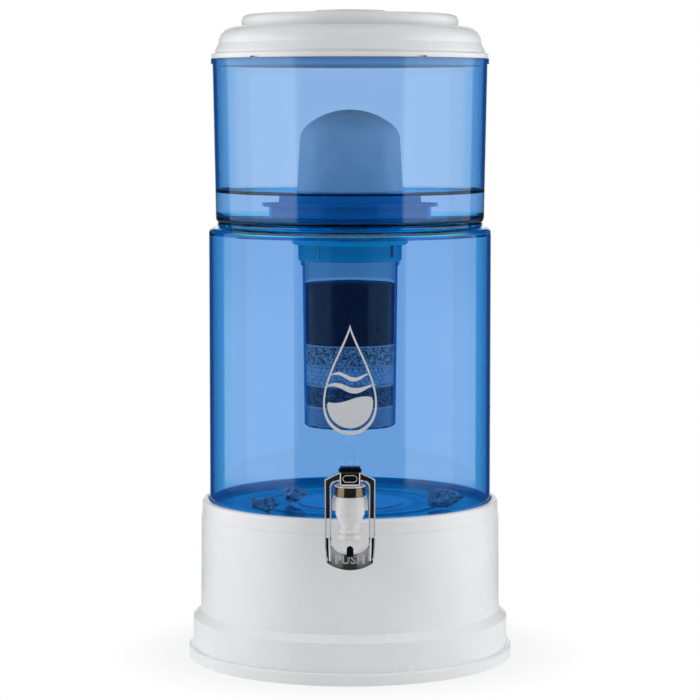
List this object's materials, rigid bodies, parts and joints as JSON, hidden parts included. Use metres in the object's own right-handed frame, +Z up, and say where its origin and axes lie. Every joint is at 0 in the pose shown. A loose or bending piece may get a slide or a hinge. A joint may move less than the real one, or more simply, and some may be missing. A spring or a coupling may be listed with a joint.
{
  "type": "gravity water filter with tap",
  "caption": "Countertop gravity water filter: a clear blue upper tank with a ceramic dome drains through a layered cartridge into a lower tank with a push-lever tap, on a white stand.",
  "frame": {"origin": "on the tanks' axis, at the underside of the stand", "axes": "+Z up along the tanks' axis, the tap faces -Y"},
  "size_m": [0.2696, 0.3056, 0.5358],
  "materials": {
    "white_gloss": "glossy white moulded plastic",
    "white_matt": "satin white moulded plastic",
    "blue_clear": "clear tinted plastic, polished",
    "cap_blue": "clear deeper blue plastic",
    "cup_clear": "clear plastic",
    "rock": "rough porous dark rock",
    "ceramic": "matt fine-pored ceramic",
    "milky_plastic": "milky translucent plastic",
    "silicone": "soft translucent silicone",
    "black_rubber": "black rubber",
    "spring_steel": "bare stainless steel",
    "chrome": "polished chrome plate",
    "bronze_chrome": "warm bronze-toned bright plate",
    "black_plastic": "glossy black plastic",
    "white_felt": "pressed white felt",
    "silica": "pale blue-grey sand",
    "dark_mineral": "dark mineral grains",
    "pale_balls": "pale blue ceramic balls",
    "grey_granules": "speckled grey granules",
    "carbon": "black carbon granules"
  },
  "bodies": {
    "stand_body": {"stand": "white_gloss"},
    "lower_vessel": {"lower_tank_shell": "blue_clear", "lower_tank_floor": "blue_clear", "stone_front": "rock", "stone_back": "rock", "stone_right": "rock", "tap_body": "milky_plastic", "tap_bonnet": "white_gloss", "tap_collar_ring": "bronze_chrome", "tap_outer_washer": "silicone", "tap_inner_washer": "silicone", "tap_nut": "white_matt", "valve_spring": "spring_steel"},
    "valve": {"valve_stem": "white_matt", "valve_seal": "silicone"},
    "lever": {"lever_frame": "chrome", "lever_head": "black_plastic", "lever_oval_ring": "chrome", "hinge_pin": "spring_steel"},
    "upper_vessel": {"upper_tank": "blue_clear", "floor_gasket": "silicone", "dome_holder": "white_matt", "ceramic_dome": "ceramic", "dome_screw": "white_matt", "screw_washer": "silicone", "screw_nut": "white_matt", "cartridge_cap": "cap_blue", "cap_seal_ring": "black_rubber", "cartridge_body": "cup_clear", "divider_pads": "white_felt", "media_silica": "silica", "media_mineral": "dark_mineral", "media_balls": "pale_balls", "media_granules": "grey_granules", "media_carbon": "carbon"},
    "lid_body": {"lid": "white_gloss"}
  },
  "joints": [
    {"name": "lower_tank_lift", "type": "slide", "parent": "stand_body", "child": "lower_vessel", "axis": [0, 0, 1], "range_m": [0, 0.1]},
    {"name": "upper_tank_lift", "type": "slide", "parent": "lower_vessel", "child": "upper_vessel", "axis": [0, 0, 1], "range_m": [0, 0.18]},
    {"name": "lid_lift", "type": "slide", "parent": "upper_vessel", "child": "lid_body", "axis": [0, 0, 1], "range_m": [0, 0.06]},
    {"name": "lever_hinge", "type": "hinge", "parent": "lower_vessel", "child": "lever", "pos_m": [0, -0.165, 0.168], "axis": [1, 0, 0], "range_deg": [0, 13], "stiffness_Nm_per_rad": 0.3, "springref_deg": -8.59},
    {"name": "valve_slide", "type": "slide", "parent": "lower_vessel", "child": "valve", "axis": [0, 0, 1], "range_m": [0, 0.0021], "deforming": ["valve_spring"]}
  ],
  "couplings": [
    {"joint": "valve_slide", "follows": "lever_hinge", "m_per_rad": 0.009}
  ]
}
